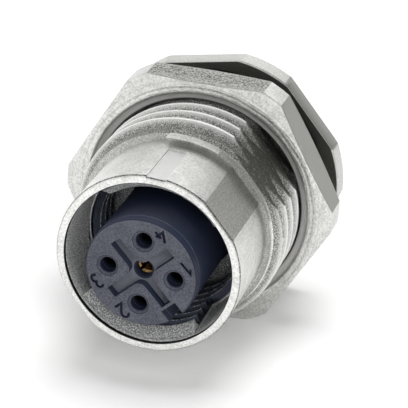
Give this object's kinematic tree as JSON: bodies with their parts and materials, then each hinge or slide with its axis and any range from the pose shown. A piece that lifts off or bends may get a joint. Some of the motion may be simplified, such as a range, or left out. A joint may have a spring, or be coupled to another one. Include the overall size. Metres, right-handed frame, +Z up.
{
  "type": "m12 panel connector",
  "caption": "Female circular panel connector with a nickel-plated threaded housing, hexagon nut and dark moulded contact carrier.",
  "frame": {"origin": "centre of the flange's panel face, on the connector's axis", "axes": "-Y along the connector's axis towards the mating face, +Z up"},
  "size_m": [0.021, 0.0238, 0.0194],
  "materials": {
    "nickel": "satin nickel plate on turned brass",
    "moulding": "fine matt glass-filled polyamide",
    "rubber": "smooth black seal rubber",
    "gold": "gold plate on copper alloy"
  },
  "bodies": {
    "connector": {"housing": "nickel", "flange_seal": "rubber", "contact_carrier": "moulding", "carrier_seal": "rubber", "rear_holder": "moulding", "contact_1": "gold", "contact_2": "gold", "contact_3": "gold", "contact_4": "gold", "contact_5": "gold"},
    "nut": {"hex_nut": "nickel"}
  },
  "joints": [
    {"name": "nut_turn", "type": "hinge", "parent": "connector", "child": "nut", "pos_m": [0, -0.0037, 0], "axis": [0, -1, 0], "range_deg": [-500, 1890]}
  ]
}
